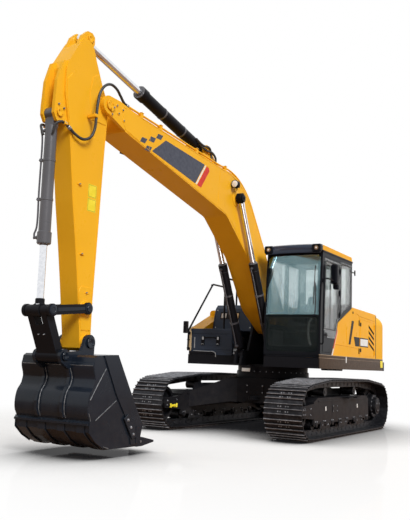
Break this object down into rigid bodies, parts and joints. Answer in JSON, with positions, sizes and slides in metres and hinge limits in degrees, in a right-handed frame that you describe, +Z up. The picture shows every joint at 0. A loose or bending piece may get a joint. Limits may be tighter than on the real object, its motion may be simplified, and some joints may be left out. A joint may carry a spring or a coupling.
{
  "type": "crawler excavator",
  "caption": "Crawler excavator with cab, boom, arm and backhoe bucket; it slews, its boom linkage moves and its doors open.",
  "frame": {"origin": "on the ground, at the bottom centre of the whole machine's box; the swing axis stands 1.7 m behind it", "axes": "+X forward over the bucket, +Y to the machine's left (the cab's side), +Z up"},
  "size_m": [8.8698, 2.98, 4.9616],
  "materials": {
    "body_yellow": "satin paint",
    "frame_black": "semi-gloss black paint",
    "boom_yellow": "satin paint",
    "track_steel": "dark worn steel",
    "weight_yellow": "painted casting",
    "rod_chrome": "hard chrome",
    "cab_black": "gloss black paint",
    "glass": "tinted safety glass",
    "cushion_fabric": "woven seat cloth",
    "dark_plastic": "grained plastic",
    "lamp_glass": "lamp lens",
    "tank_grey": "textured dark grey paint"
  },
  "bodies": {
    "undercarriage": {"car_body": "frame_black", "swing_bearing": "frame_black", "track_left": "track_steel", "track_frame_left": "frame_black", "rollers_left": "track_steel", "idler_left": "track_steel", "final_drive_left": "track_steel", "travel_motor_left": "frame_black", "track_right": "track_steel", "track_frame_right": "frame_black", "rollers_right": "track_steel", "idler_right": "track_steel", "final_drive_right": "track_steel", "travel_motor_right": "frame_black"},
    "upper_structure": {"main_frame": "frame_black", "counterweight": "weight_yellow", "engine_block": "frame_black", "left_panel": "body_yellow", "right_panel": "body_yellow", "fuel_tank": "body_yellow", "hydraulic_tank": "body_yellow", "tool_box": "tank_grey", "tank_cover": "body_yellow", "handrails": "frame_black", "right_mirror": "dark_plastic", "exhaust_stack": "frame_black", "swing_motor": "frame_black", "cab_frame": "cab_black", "cab_roof": "body_yellow", "cab_lamps": "lamp_glass", "cab_glass": "glass", "seat_base": "dark_plastic", "seat_cushion": "cushion_fabric", "cab_controls": "dark_plastic"},
    "cab_door": {"cab_door": "cab_black", "door_glass": "glass"},
    "left_door": {"left_door": "body_yellow"},
    "right_door": {"right_door": "body_yellow"},
    "engine_hood": {"engine_hood": "body_yellow"},
    "boom": {"boom": "boom_yellow", "boom_lamp": "frame_black", "boom_pipes": "boom_yellow"},
    "boom_barrel_left": {"boom_barrel_left": "frame_black"},
    "boom_barrel_right": {"boom_barrel_right": "frame_black"},
    "boom_rod_left": {"boom_rod_left": "rod_chrome"},
    "boom_rod_right": {"boom_rod_right": "rod_chrome"},
    "arm_barrel": {"arm_barrel": "frame_black"},
    "arm_rod": {"arm_rod": "rod_chrome"},
    "arm": {"arm": "boom_yellow"},
    "bucket_barrel": {"bucket_barrel": "frame_black"},
    "bucket_rod": {"bucket_rod": "rod_chrome"},
    "guide_links": {"guide_links": "frame_black"},
    "power_link": {"power_link": "frame_black"},
    "bucket": {"bucket": "frame_black", "bucket_teeth": "frame_black"}
  },
  "joints": [
    {"name": "swing", "type": "hinge", "parent": "undercarriage", "child": "upper_structure", "pos_m": [-1.7, 0, 1.07], "axis": [0, 0, 1], "continuous": true},
    {"name": "boom_lift", "type": "hinge", "parent": "upper_structure", "child": "boom", "pos_m": [-1.55, 0, 1.8], "axis": [0, -1, 0], "range_deg": [-60, 35]},
    {"name": "boom_barrel_left_turn", "type": "hinge", "parent": "upper_structure", "child": "boom_barrel_left", "pos_m": [-1, 0.285, 1.25], "axis": [0, -1, 0], "range_deg": [-62, 37]},
    {"name": "boom_rod_left_slide", "type": "slide", "parent": "boom_barrel_left", "child": "boom_rod_left", "axis": [0.4624, 0, 0.8867], "range_m": [-0.77, 0.44]},
    {"name": "boom_barrel_right_turn", "type": "hinge", "parent": "upper_structure", "child": "boom_barrel_right", "pos_m": [-1, -0.285, 1.25], "axis": [0, -1, 0], "range_deg": [-62, 37]},
    {"name": "boom_rod_right_slide", "type": "slide", "parent": "boom_barrel_right", "child": "boom_rod_right", "axis": [0.4624, 0, 0.8867], "range_m": [-0.77, 0.44]},
    {"name": "arm_swing", "type": "hinge", "parent": "boom", "child": "arm", "pos_m": [3.59, 0, 4.142], "axis": [0, -1, 0], "range_deg": [-44, 68.6]},
    {"name": "arm_barrel_turn", "type": "hinge", "parent": "boom", "child": "arm_barrel", "pos_m": [1.04, 0, 4.29], "axis": [0, -1, 0], "range_deg": [-5.2, 7.9]},
    {"name": "arm_rod_slide", "type": "slide", "parent": "arm_barrel", "child": "arm_rod", "axis": [0.9794, 0, 0.202], "range_m": [-0.82, 0.63]},
    {"name": "bucket_tilt", "type": "hinge", "parent": "arm", "child": "bucket", "pos_m": [3.685, 0, 1.26], "axis": [0, -1, 0], "range_deg": [-90, 72]},
    {"name": "bucket_barrel_turn", "type": "hinge", "parent": "arm", "child": "bucket_barrel", "pos_m": [4.35, 0, 3.815], "axis": [0, -1, 0], "range_deg": [-4.3, 3.3]},
    {"name": "bucket_rod_slide", "type": "slide", "parent": "bucket_barrel", "child": "bucket_rod", "axis": [-0.009, 0, -1], "range_m": [-0.48, 0.64]},
    {"name": "guide_link_turn", "type": "hinge", "parent": "arm", "child": "guide_links", "pos_m": [3.735, 0, 1.65], "axis": [0, -1, 0], "range_deg": [-69, 55]},
    {"name": "power_link_turn", "type": "hinge", "parent": "bucket", "child": "power_link", "pos_m": [4.1, 0, 1.1], "axis": [0, -1, 0], "range_deg": [-53, 66]},
    {"name": "cab_door_hinge", "type": "hinge", "parent": "upper_structure", "child": "cab_door", "pos_m": [-1.3425, 1.3693, 2.3], "axis": [0, 0, 1], "range_deg": [0, 150]},
    {"name": "left_door_hinge", "type": "hinge", "parent": "upper_structure", "child": "left_door", "pos_m": [-3.2625, 1.3693, 1.64], "axis": [0, 0, 1], "range_deg": [0, 110]},
    {"name": "right_door_hinge", "type": "hinge", "parent": "upper_structure", "child": "right_door", "pos_m": [-3.2625, -1.3693, 1.64], "axis": [0, 0, -1], "range_deg": [0, 110]},
    {"name": "hood_hinge", "type": "hinge", "parent": "upper_structure", "child": "engine_hood", "pos_m": [-2.5475, 0, 2.1333], "axis": [0, 1, 0], "range_deg": [0, 70]}
  ],
  "couplings": [
    {"joint": "boom_barrel_left_turn", "follows": "boom_lift", "ratio": 0.9796},
    {"joint": "boom_rod_left_slide", "follows": "boom_lift", "m_per_rad": 0.7},
    {"joint": "boom_barrel_right_turn", "follows": "boom_lift", "ratio": 0.9796},
    {"joint": "boom_rod_right_slide", "follows": "boom_lift", "m_per_rad": 0.7},
    {"joint": "arm_barrel_turn", "follows": "arm_swing", "ratio": 0.1076},
    {"joint": "arm_rod_slide", "follows": "arm_swing", "m_per_rad": -0.6767},
    {"joint": "bucket_barrel_turn", "follows": "bucket_tilt", "ratio": 0.0405},
    {"joint": "bucket_rod_slide", "follows": "bucket_tilt", "m_per_rad": -0.3728},
    {"joint": "guide_link_turn", "follows": "bucket_tilt", "ratio": 0.745},
    {"joint": "power_link_turn", "follows": "bucket_tilt", "ratio": -0.7199}
  ]
}
